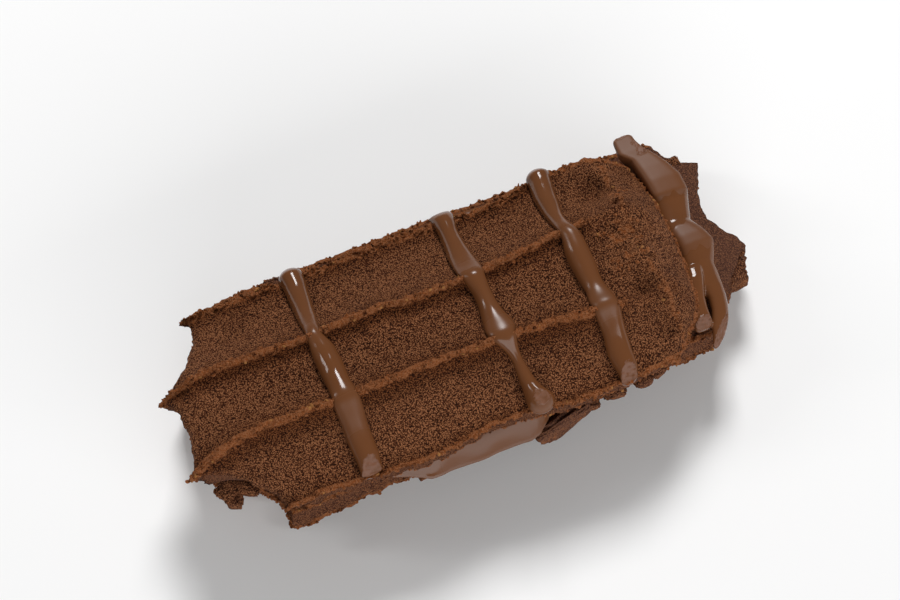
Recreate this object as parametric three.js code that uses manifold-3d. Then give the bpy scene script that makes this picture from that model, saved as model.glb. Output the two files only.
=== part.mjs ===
// A chocolate sandwich biscuit. Two fluted biscuits, piped through a star nozzle and baked, lie head
// to tail with their flat sides together on a layer of chocolate, and four thick lines of chocolate
// run across the upper one. Millimetres, +Z up, +X towards the round end of the upper biscuit, the
// origin on the ground below the middle.

import * as THREE from 'three';
import { mergeVertices } from 'three/addons/utils/BufferGeometryUtils.js';
import Module from 'manifold-3d';

const wasm = await Module();
wasm.setup();

// ---- driving dimensions ----

const gap = 0.3; // between the biscuits and the filling, which touch
const lowerThickness = 9;
const fillingThickness = 1.9;

// A piped biscuit, measured in its own frame: u runs from the end where the nozzle was cut away to
// the round end where piping began, v runs across, and the flat baked side is at height 0. A ridge
// is given by its sideways places at equal steps along the length, and an end by how far each of
// the four ridges is set back there, with the depth of the three notches between them.
const upper = {
  length: 67.5,
  crestHeight: 9.5,
  edgeHeight: 4,
  wallInset: 1.3, // how far the wall under the outer ridges is drawn in at the flat side
  ridges: [
    [-14.1, -13.7, -14.1, -14.7, -13.7, -14.8, -14.6, -12.5],
    [-6.1, -5.0, -5.1, -5.1, -5.2, -5.9, -6.8, -6.8],
    [4.4, 4.3, 4.0, 4.1, 3.6, 4.3, 5.0, 4.5],
    [14.7, 14.4, 14.3, 14.3, 14.4, 13.9, 15.3, 13.3],
  ],
  cutEnd: { setBack: [9.4, 0, 0, 6.5], notch: [2.8, 2.1, 2.9], roundness: 0.5 },
  startEnd: { setBack: [6, 0.7, 0, 1], notch: [-1.7, -0.4, -0.4], roundness: 1 },
  startRounding: 6, // length over which the round end falls to its edge
  lumps: [{ u: 62.5, v: 0, height: 1, reach: 3.2 }],
  fans: [ // ridges of the first coil of dough, which spread sideways at the round end
    { from: [61.6, 14.5], to: [61.4, 4.3] },
    { from: [61.2, -3.9], to: [64, -11] },
  ],
  steps: { along: 48, across: 24, up: 3 },
};

const lower = {
  length: 74.2,
  crestHeight: lowerThickness,
  edgeHeight: 4.2,
  wallInset: 0.6,
  ridges: [
    [-14.6, -14.6, -14.8, -15.0, -15.2, -15.5, -16.2, -17.2],
    [-4.4, -4.4, -5, -5.2, -5, -5.2, -5.6, -6],
    [9, 6.4, 5.2, 5, 5.2, 4.8, 5.4, 5.6],
    [13.2, 14.4, 15, 15, 15.2, 15.2, 15, 13.8],
  ],
  cutEnd: { setBack: [9.4, 0, 0.9, 5.5], notch: [0.3, 2.5, 0.8], roundness: 1.3 },
  startEnd: { setBack: [6.6, 0, 0.5, 5.7], notch: [2.2, -0.4, 0.6], roundness: 0.8 },
  startRounding: 2,
  lumps: [],
  fans: [],
  steps: { along: 36, across: 18, up: 3 },
};

// Forms that both biscuits share
const fluteDepth = { inner: 1.6, outer: 1.3 };
const ridgeSharpness = 0.85; // 1 rounds the flutes, less makes the ridges between them sharper
const tooth = { drop: 2.6, edgeDrop: 0.5, length: 4.5 }; // a ridge's torn tip, lower than the rest of it
const startFullness = 0.3; // height left at the very edge of the round end, as a share
const fan = { height: 1.3, reach: 4, sharpness: 1.6 };
const wallCurve = 0.6; // below 1, the wall draws in most just under the ridge

// Where the two biscuits lie. The lower one is turned end for end and upside down.
const upperPlace = { x: -38.3, y: -3.3, z: lowerThickness + fillingThickness + 2 * gap };
const lowerPlace = { x: 39.4, y: 0, z: lowerThickness };

// The filling's layer, with the lip that was squeezed out along the front. The back edge is given
// at equal steps along it.
const filling = {
  left: -27.6,
  right: 27.6,
  back: [11.2, 11.6, 12.7, 13.0, 12.1, 11.2],
  front: -14.2,
  corner: { reach: 7, pull: 0.28 },
  lip: { from: -22, to: 4.6, reach: 2.3, rise: 9, fall: 1.2, droop: 1.4, fullest: 0.4, curve: 1.6 },
  steps: { along: 36, across: 10, up: 3 },
};

// The lines of chocolate, from the back edge to the front: the middle line and the half width at
// equal steps. Three follow the ridges. The last lies against the round end in two strands, between
// the heights foot and crown.
const crossing = [
  {
    back: 11.8,
    front: -17.6,
    middle: [-16.8, -17.0, -17.7, -17.4, -17.3, -17.3, -17.6],
    halfWidth: [1.3, 1.35, 1.0, 1.7, 1.6, 1.7, 1.35],
  },
  {
    back: 11.2,
    front: -17.8,
    middle: [3.7, 3.2, 3.1, 3.4, 3.5, 4.2, 5.1],
    halfWidth: [1.3, 1.5, 1.3, 1.4, 1.8, 0.8, 1.7],
  },
  {
    back: 12.2,
    front: -18.3,
    middle: [16.9, 16.0, 16.2, 16.3, 16.5, 16.4, 16.3],
    halfWidth: [1.4, 1.4, 1.1, 1.5, 1.5, 1.6, 1.2],
  },
];
const overhang = [
  {
    back: 14.2,
    front: -15.8,
    middle: [29.4, 31.1, 31.6, 31.0, 31.2, 31.2, 31.6, 29.4],
    halfWidth: [1.5, 3.0, 3.1, 3.0, 3.3, 2.9, 1.9, 0.6],
    crown: [14.8, 15.2, 15.2, 14.8, 14.2, 13.4, 12, 11],
    foot: [12.4, 10.2, 9.3, 9.3, 9.3, 9.3, 9.3, 9.3],
  },
  {
    back: -8.5,
    front: -13.2,
    middle: [29.4, 29.4, 28.6],
    halfWidth: [1.2, 0.95, 0.8],
    crown: [13.8, 13.2, 12.4],
    foot: [10, 10, 10],
  },
];
const line = {
  height: 1.25, // above the biscuit
  root: 1.5, // sunk into it
  bridging: 1.6, // how far to each side the chocolate evens out the ridges
  overhangDrop: 0.8, // how fast it falls beyond the edge
  slope: -0.35, // how the overhanging line's top falls away from the biscuit
  endTaper: 1.3, // length over which a line rounds off
  endBluntness: 0.45, // width left at its broken end, as a share of the whole
  sides: 10,
  stepsPerMillimetre: 0.55,
};

// ---- shapes ----

const { clamp, lerp, smoothstep } = THREE.MathUtils;

// Catmull-Rom curve through values at equal steps, read at 0 to 1
function through(values) {
  const curve = new THREE.SplineCurve(values.map((value, step) => new THREE.Vector2(step, value)));
  return (share) => curve.getPoint(clamp(share, 0, 1)).y;
}

// A quarter round: 0 at distance 0, and level at 1 from distance reach on
const roundOff = (distance, reach) => Math.sqrt(1 - (1 - clamp(distance / reach, 0, 1)) ** 2);

// Closed geometry whose faces share their vertices, each vertex then moved by the function place
function moulded(geometry, place) {
  geometry.deleteAttribute('normal');
  geometry.deleteAttribute('uv');
  const merged = mergeVertices(geometry);
  const points = merged.attributes.position;
  for (let i = 0; i < points.count; i++) {
    points.setXYZ(i, ...place(points.getX(i), points.getY(i), points.getZ(i)));
  }
  merged.computeVertexNormals();
  return merged;
}

function manifoldOf(geometry) {
  return new wasm.Manifold(new wasm.Mesh({
    numProp: 3,
    vertProperties: Float32Array.from(geometry.attributes.position.array),
    triVerts: Uint32Array.from(geometry.index.array),
  }));
}

function geometryOf(manifold) {
  const mesh = manifold.getMesh();
  const geometry = new THREE.BufferGeometry();
  geometry.setAttribute('position', new THREE.BufferAttribute(mesh.vertProperties, 3));
  geometry.setIndex(new THREE.BufferAttribute(mesh.triVerts, 1));
  geometry.computeVertexNormals();
  return geometry;
}

// The form of a piped biscuit. side runs from -1 to 1 across, with ridges at -1, -1/3, 1/3 and 1.
function pipedForm(biscuit) {
  const ridgeCurves = biscuit.ridges.map(through);
  const ridgeAt = (ridge, u) => ridgeCurves[ridge](u / biscuit.length);
  const crests = [biscuit.edgeHeight, biscuit.crestHeight, biscuit.crestHeight, biscuit.edgeHeight];
  const depths = [fluteDepth.outer, fluteDepth.inner, fluteDepth.outer];

  // Which flute a place lies in, how far across it, and a hollow of 0 on its ridges and 1 between
  const fluteOf = (side) => {
    const place = (side + 1) * 1.5;
    const flute = clamp(Math.floor(place), 0, 2);
    const share = clamp(place - flute, 0, 1);
    return { flute, share, hollow: 4 * share * (1 - share) };
  };
  const setBackAt = (end, side) => {
    const { flute, share, hollow } = fluteOf(side);
    const chord = lerp(end.setBack[flute], end.setBack[flute + 1], share);
    return chord + end.notch[flute] * hollow ** end.roundness;
  };
  const cutEndAt = (side) => setBackAt(biscuit.cutEnd, side);
  const startEndAt = (side) => biscuit.length - setBackAt(biscuit.startEnd, side);

  const plan = (along, side) => {
    const u = lerp(cutEndAt(side), startEndAt(side), along);
    const { flute, share } = fluteOf(side);
    return [u, lerp(ridgeAt(flute, u), ridgeAt(flute + 1, u), share)];
  };

  const sideAt = (u, v) => {
    const edges = [0, 1, 2, 3].map((ridge) => ridgeAt(ridge, u));
    const flute = v < edges[1] ? 0 : v < edges[2] ? 1 : 2;
    const share = (v - edges[flute]) / (edges[flute + 1] - edges[flute]);
    return clamp((flute + share) / 1.5 - 1, -1, 1);
  };

  const fansAt = (u, v) => biscuit.fans.reduce((height, { from, to }) => {
    const ridge = new THREE.Line3(new THREE.Vector3(...from, 0), new THREE.Vector3(...to, 0));
    const point = new THREE.Vector3(u, v, 0);
    const away = ridge.closestPointToPoint(point, true, new THREE.Vector3()).distanceTo(point);
    return height + fan.height * Math.max(1 - away / fan.reach, 0) ** fan.sharpness;
  }, 0);

  const lumpsAt = (u, v) => biscuit.lumps.reduce((height, lump) => (
    height + lump.height * Math.exp(-((u - lump.u) ** 2 + (v - lump.v) ** 2) / 2 / lump.reach ** 2)
  ), 0);

  const toothDropAt = (u, side) => {
    const torn = 1 - smoothstep(u - cutEndAt(side), 0, tooth.length);
    const onInnerRidge = Math.abs(side) < 2 / 3 ? (1 - fluteOf(side).hollow) ** 3 : 0;
    return torn * (tooth.edgeDrop + tooth.drop * onInnerRidge);
  };

  const heightAt = (u, v, side = sideAt(u, v)) => {
    const { flute, share, hollow } = fluteOf(side);
    const ridged = lerp(crests[flute], crests[flute + 1], share) - depths[flute] * hollow ** ridgeSharpness;
    const whole = ridged - toothDropAt(u, side) + fansAt(u, v) + lumpsAt(u, v);
    return whole * lerp(startFullness, 1, roundOff(startEndAt(side) - u, biscuit.startRounding));
  };

  return { plan, heightAt, ridgeAt };
}

function pipedBiscuit(biscuit, form) {
  const { along, across, up } = biscuit.steps;
  const middle = biscuit.length / 2;
  const halfWidth = form.ridgeAt(3, middle);
  return moulded(new THREE.BoxGeometry(1, 1, 1, along, across, up), (x, y, z) => {
    const level = z + 0.5;
    const [u, v] = form.plan(x + 0.5, 2 * y);
    const height = form.heightAt(u, v, 2 * y);
    const inset = biscuit.wallInset * (1 - level) ** wallCurve;
    return [middle + (u - middle) * (1 - inset / middle), v * (1 - inset / halfWidth), level * height];
  });
}

// A line of chocolate: a tube from the back of the biscuit to the front, its ends rounded off
function chocolateLine({ back, front, middle, halfWidth }, heightOf) {
  const run = back - front;
  const middleAt = through(middle);
  const halfWidthAt = through(halfWidth);
  const steps = Math.round(run * line.stepsPerMillimetre);
  return moulded(new THREE.CylinderGeometry(1, 1, 1, line.sides, steps), (x, y, z) => {
    const share = 0.5 - y;
    const rounded = roundOff(Math.min(share, 1 - share) * run, line.endTaper);
    const fullness = lerp(line.endBluntness, 1, rounded);
    const across = x * halfWidthAt(share) * fullness;
    const place = { share, x: middleAt(share), y: back - run * share, across };
    return [place.x + across, place.y, heightOf(place, z * fullness)];
  });
}

// A line that follows the biscuit: chocolate bridges the flutes and thins on the ridges
function followingHeight(form) {
  const surfaceAt = (x, y) => {
    const u = x - upperPlace.x;
    const v = y - upperPlace.y;
    const inside = clamp(v, form.ridgeAt(0, u), form.ridgeAt(3, u));
    return upperPlace.z + form.heightAt(u, inside) - line.overhangDrop * Math.abs(v - inside);
  };
  return ({ x, y }, rise) => {
    const places = [y - line.bridging, y, y + line.bridging];
    const level = places.reduce((sum, place) => sum + surfaceAt(x, place), 0) / places.length;
    return level + rise * (rise > 0 ? line.height : line.root);
  };
}

// A line that lies against the round end, its top falling away from the biscuit
function overhangingHeight({ crown, foot }) {
  const crownAt = through(crown);
  const footAt = through(foot);
  return ({ share, across }, rise) => (
    lerp(footAt(share), crownAt(share) + line.slope * across, 0.5 + 0.5 * rise)
  );
}

// The filling fills the space between the flat sides, and its lip hangs over the lower biscuit
function fillingLayer(lowerForm) {
  const { left, right, back, front, corner, lip, steps } = filling;
  const bottom = lowerPlace.z + gap;
  const backAt = through(back);
  const lowerFrontAt = (x) => lowerPlace.y + lowerForm.ridgeAt(0, lowerPlace.x - x);
  const block = new THREE.BoxGeometry(1, 1, 1, steps.along, steps.across, steps.up);
  return moulded(block, (a, b, c) => {
    const along = a + 0.5;
    const x = lerp(left, right, along);
    const level = c + 0.5;
    const cornered = 1 - corner.pull * (1 - roundOff(Math.min(x - left, right - x), corner.reach));
    const begun = smoothstep(x, lip.from, lip.from + lip.rise);
    const squeezed = begun * (1 - smoothstep(x, lip.to - lip.fall, lip.to));
    const lipRoot = lerp(front, Math.min(front, lowerFrontAt(x) - gap), squeezed);
    const z = bottom + fillingThickness * level;
    const column = Math.round((b + 0.5) * steps.across);
    if (column === 0) {
      const bulge = 1 - lip.curve * Math.abs(level - lip.fullest) ** 1.5;
      const edge = lipRoot - lip.reach * squeezed * bulge;
      return [x, edge * cornered, z - lip.droop * squeezed * (1 - level)];
    }
    const inward = (column - 1) / (steps.across - 1);
    const firstRow = lipRoot + gap * (1 - squeezed);
    return [x, lerp(firstRow, backAt(along), inward) * cornered, z];
  });
}

// ---- the pieces ----

const biscuitFinish = (color) => new THREE.MeshStandardMaterial({ color, roughness: 0.95, metalness: 0 });
const chocolateFinish = new THREE.MeshStandardMaterial({ color: 0x5e3d2a, roughness: 0.3, metalness: 0 });

function namedMesh(name, geometry, material) {
  const mesh = new THREE.Mesh(geometry, material);
  mesh.name = name;
  return mesh;
}

function upperBiscuit(form) {
  const dough = pipedBiscuit(upper, form);
  dough.translate(upperPlace.x, upperPlace.y, upperPlace.z);
  const chocolate = [
    ...crossing.map((each) => chocolateLine(each, followingHeight(form))),
    ...overhang.map((each) => chocolateLine(each, overhangingHeight(each))),
  ];
  const whole = chocolate.reduce((joined, each) => joined.add(manifoldOf(each)), manifoldOf(dough));
  return namedMesh('upper_biscuit', geometryOf(whole), biscuitFinish(0x5c3a27));
}

function lowerBiscuit(form) {
  const dough = pipedBiscuit(lower, form);
  dough.rotateY(Math.PI);
  dough.translate(lowerPlace.x, lowerPlace.y, lowerPlace.z);
  return namedMesh('lower_biscuit', dough, biscuitFinish(0x543525));
}

const upperForm = pipedForm(upper);
const lowerForm = pipedForm(lower);
const cookie = new THREE.Group();
cookie.add(
  upperBiscuit(upperForm),
  namedMesh('filling', fillingLayer(lowerForm), chocolateFinish),
  lowerBiscuit(lowerForm),
);

const extent = new THREE.Box3().setFromObject(cookie);
const centre = extent.getCenter(new THREE.Vector3());
cookie.position.set(-centre.x, -centre.y, -extent.min.z);

export default cookie;
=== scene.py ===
"""A chocolate sandwich biscuit: two fluted piped biscuits round a chocolate filling, with four lines
of chocolate across the top. Form sizes are in millimetres and become metres when a mesh is made."""
import math

import bmesh
import bpy
import numpy as np
from mathutils import Matrix, Vector


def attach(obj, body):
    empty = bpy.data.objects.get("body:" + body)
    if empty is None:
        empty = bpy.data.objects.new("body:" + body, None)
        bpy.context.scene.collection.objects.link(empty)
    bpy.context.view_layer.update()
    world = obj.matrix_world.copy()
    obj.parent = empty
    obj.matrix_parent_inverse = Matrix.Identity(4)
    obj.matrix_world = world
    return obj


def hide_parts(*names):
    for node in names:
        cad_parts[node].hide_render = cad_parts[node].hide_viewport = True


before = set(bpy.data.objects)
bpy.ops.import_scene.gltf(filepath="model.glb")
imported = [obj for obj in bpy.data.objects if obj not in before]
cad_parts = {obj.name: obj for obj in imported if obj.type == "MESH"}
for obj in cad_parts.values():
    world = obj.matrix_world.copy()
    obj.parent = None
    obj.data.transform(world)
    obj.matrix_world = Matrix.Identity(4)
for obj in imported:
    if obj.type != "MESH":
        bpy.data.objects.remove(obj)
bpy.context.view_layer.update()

# ---- Lower biscuit -------------------------------------------------------------------------------
# A finger of cocoa dough, piped through a star nozzle with eight points and baked to a sandy crumb.
# It lies upside down and turned end for end, so it rests on its two middle ridges, and its baked
# flat side faces up against the filling. Its star-cut end is the one on the right.

MM = 0.001
COOKIE_SHIFT = np.array([-0.55, 1.54, 0.0])  # from the biscuits' own axes to the middle of the whole
LOWER_THICKNESS = 9.0
LOWER_PLACE = (39.4, 0.0, LOWER_THICKNESS)
LOWER_STEPS = (320, 132, 10)  # along, across and down the wall
LOWER_BISCUIT = {
    "length": 74.2,
    "crest_height": LOWER_THICKNESS,
    "edge_height": 4.2,
    "wall_inset": 0.6,
    "cut_inset": 0.6,
    "ridges": [  # sideways places of the four ridges, at equal steps from the star-cut end
        [-14.6, -14.6, -14.8, -15.0, -15.2, -15.5, -16.2, -17.2],
        [-4.4, -4.4, -5, -5.2, -5, -5.2, -5.6, -6],
        [9, 6.4, 5.2, 5, 5.2, 4.8, 5.4, 5.6],
        [13.2, 14.4, 15, 15, 15.2, 15.2, 15, 13.8],
    ],
    "cut_end": {"set_back": [9.4, 0, 0.9, 5.5], "notch": [0.3, 2.5, 0.8], "roundness": 1.3},
    "start_end": {"set_back": [6.6, 0, 0.5, 5.7], "notch": [2.2, -0.4, 0.6], "roundness": 0.8},
    "start_rounding": 2,
    "coil_fill": 0,
    "bead": 0,
    "lumps": [],
    "fans": [],
    "crumbly": [],
    "steps": [],
    "seed": 40,
}
FLUTE_DEPTHS = np.array([1.3, 1.6, 1.3])
RIDGE_SHARPNESS = 0.85
TOOTH_DROP, TOOTH_EDGE_DROP, TOOTH_LENGTH = 2.6, 0.5, 4.5
START_FULLNESS = 0.3  # height at the very start, as a share of the full height
FAN_HEIGHT, FAN_REACH, FAN_SHARPNESS = 1.3, 4.0, 1.6
END_CURL, END_CURL_REACH = 1.3, 1.6
WALL_CURVE = 0.6
RIDGE_WANDER = 0.14
COIL_REACH, COIL_COLOUR_REACH = (56.5, 61.0), (55.5, 59.0)  # where the first coil fills the flutes
STEP_WIDTH = 2.2
RAGGED_REACH = 0.8
BEAD_WIDTH = 0.55
UNDERCUT_DEPTH, UNDERCUT_PLACE, UNDERCUT_WIDTH = 0.25, 1.25, 0.7


def through(values, share):
    """Catmull-Rom curve through values at equal steps, read at 0 to 1."""
    values = np.asarray(values, float)
    last = len(values) - 1
    place = np.clip(share, 0, 1) * last
    step = np.minimum(np.floor(place).astype(int), last - 1)
    t = place - step
    before, start, end, after = (values[np.clip(step + k, 0, last)] for k in (-1, 0, 1, 2))
    bend = 2 * before - 5 * start + 4 * end - after
    return start + 0.5 * t * (end - before + t * (bend + t * (3 * (start - end) + after - before)))


def ease(value, low, high):
    """Smooth step from 0 at low to 1 at high."""
    t = np.clip((value - low) / (high - low), 0, 1)
    return t * t * (3 - 2 * t)


def round_off(distance, reach):
    """Quarter circle from 0 at an edge to 1 at a reach from it."""
    return np.sqrt(1 - (1 - np.clip(distance / reach, 0, 1)) ** 2)


def mix(a, b, share):
    return a + (b - a) * share


def swell(x, y, wavelength, seed):
    """Smooth irregular bumps of about -1 to 1 over x and y."""
    draw = np.random.default_rng(seed)
    total = np.zeros(np.broadcast(x, y).shape)
    for _ in range(9):
        pace = 2 * math.pi / wavelength * draw.uniform(0.6, 1.6)
        turn = draw.uniform(0, 2 * math.pi)
        shift = draw.uniform(0, 2 * math.pi)
        total = total + np.sin((x * math.cos(turn) + y * math.sin(turn)) * pace + shift)
    return total / 3.5


def flute_of(side):
    """Which flute a place lies in, how far across it, and a hollow of 0 on its ridges and 1 between."""
    place = (side + 1) * 1.5
    flute = np.clip(np.floor(place), 0, 2).astype(int)
    share = np.clip(place - flute, 0, 1)
    return flute, share, 4 * share * (1 - share)


def set_back_at(end, side):
    """How far an end lies back at its four ridges, and more in the notches between them."""
    flute, share, hollow = flute_of(side)
    back = np.array(end["set_back"], float)
    notch = np.array(end["notch"])[flute] * hollow ** end["roundness"]
    return mix(back[flute], back[flute + 1], share) + notch


def ridge_places(biscuit, u):
    """Sideways places of the four ridges at a place along, wandering a little."""
    return np.stack([
        through(ridge, u / biscuit["length"]) + RIDGE_WANDER * swell(u, 0, 4.5, biscuit["seed"] + k)
        for k, ridge in enumerate(biscuit["ridges"])
    ])


def plan_of(biscuit, along, side):
    """Place along and across for shares of the way from end to end and from edge to edge."""
    start = biscuit["length"] - set_back_at(biscuit["start_end"], side)
    u = mix(set_back_at(biscuit["cut_end"], side), start, along)
    flute, share, _ = flute_of(side)
    ridges = ridge_places(biscuit, u)
    near = np.take_along_axis(ridges, flute[None], 0)[0]
    far = np.take_along_axis(ridges, flute[None] + 1, 0)[0]
    return u, mix(near, far, share)


def side_at(biscuit, u, v):
    """How far across a place lies: -1 and 1 on the outer ridges, a third on the inner ones."""
    ridges = ridge_places(biscuit, u)
    side = np.full(np.shape(u), -1.0)
    for flute in range(3):
        share = (v - ridges[flute]) / (ridges[flute + 1] - ridges[flute])
        side = np.where(v >= ridges[flute], (flute + share) / 1.5 - 1, side)
    return np.clip(side, -1, 1)


def away_from_line(u, v, line):
    """Distance to a short ridge that wanders a little."""
    (from_u, from_v), (to_u, to_v) = line
    du, dv = to_u - from_u, to_v - from_v
    t = np.clip(((u - from_u) * du + (v - from_v) * dv) / (du * du + dv * dv), 0, 1)
    wander = 0.35 * swell(u, v, 3.0, 31)
    return np.hypot(u - from_u - t * du + wander, v - from_v - t * dv - wander)


def height_of(biscuit, u, v, side):
    """Height of the piped top above the flat side."""
    flute, share, hollow = flute_of(side)
    edge, crest = biscuit["edge_height"], biscuit["crest_height"]
    crests = np.array([edge, crest, crest, edge], float)
    depth = FLUTE_DEPTHS[flute] * (1 - biscuit["coil_fill"] * ease(u, *COIL_REACH))
    height = mix(crests[flute], crests[flute + 1], share) - depth * hollow**RIDGE_SHARPNESS
    torn = 1 - ease(u - set_back_at(biscuit["cut_end"], side), 0, TOOTH_LENGTH)
    on_inner_ridge = np.where(np.abs(side) < 2 / 3, (1 - hollow) ** 3, 0)
    height = height - torn * (TOOTH_EDGE_DROP + TOOTH_DROP * on_inner_ridge)
    for line in biscuit["fans"]:
        near = np.clip(1 - away_from_line(u, v, line) / FAN_REACH, 0, 1)
        height = height + FAN_HEIGHT * near**FAN_SHARPNESS
    for at_u, at_v, rise, reach in biscuit["lumps"]:
        height = height + rise * np.exp(-((u - at_u) ** 2 + (v - at_v) ** 2) / 2 / reach**2)
    start = biscuit["length"] - set_back_at(biscuit["start_end"], side)
    return height * mix(START_FULLNESS, 1, round_off(start - u, biscuit["start_rounding"]))


def ridge_distance(biscuit, u, side):
    """Distance to the nearest ridge, and which ridge; below zero on the ridge's near side."""
    flute, share, _ = flute_of(side)
    ridges = ridge_places(biscuit, u)
    near = np.take_along_axis(ridges, flute[None], 0)[0]
    width = np.take_along_axis(ridges, flute[None] + 1, 0)[0] - near
    past = share < 0.5
    return np.where(past, share, share - 1) * width, np.where(past, flute, flute + 1)


def crumbled_height(biscuit, u, v, side):
    """The piped height with its crumbly crests, the shadowed hollow in front of each, and torn ends."""
    height = height_of(biscuit, u, v, side)
    away, ridge = ridge_distance(biscuit, u, side)
    inner = (ridge == 1) | (ridge == 2)
    seed = biscuit["seed"] + 10
    from_cut = u - set_back_at(biscuit["cut_end"], side)
    fade = ease(from_cut, 0.3, 2.0) * ease(biscuit["length"] - u, 9.0, 14.0)
    ragged = np.clip(0.8 + 0.5 * swell(u, 3 * ridge, 1.9, seed), 0.1, 1.6)
    bead = biscuit["bead"] * np.where(inner, 1, 0.5) * ragged
    height = height + fade * bead * np.exp(-((away / BEAD_WIDTH) ** 4))
    undercut = UNDERCUT_DEPTH * np.exp(-(((-away - UNDERCUT_PLACE) / UNDERCUT_WIDTH) ** 2))
    height = height - fade * np.where(inner, undercut, 0)
    height = height - END_CURL * (1 - round_off(from_cut, END_CURL_REACH))
    for ridge_number, from_end, drop in biscuit["steps"]:
        ridge_v = ridge_places(biscuit, u)[ridge_number]
        beyond = 1 - ease(u - 0.25 * swell(v, 0, 1.5, seed + 1), from_end - 0.3, from_end + 0.3)
        height = height - drop * beyond * np.exp(-(((v - ridge_v) / STEP_WIDTH) ** 2))
    height = height + 0.13 * swell(u, v, 9.0, seed + 2) + 0.05 * swell(u, v, 3.2, seed + 3)
    return height


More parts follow.
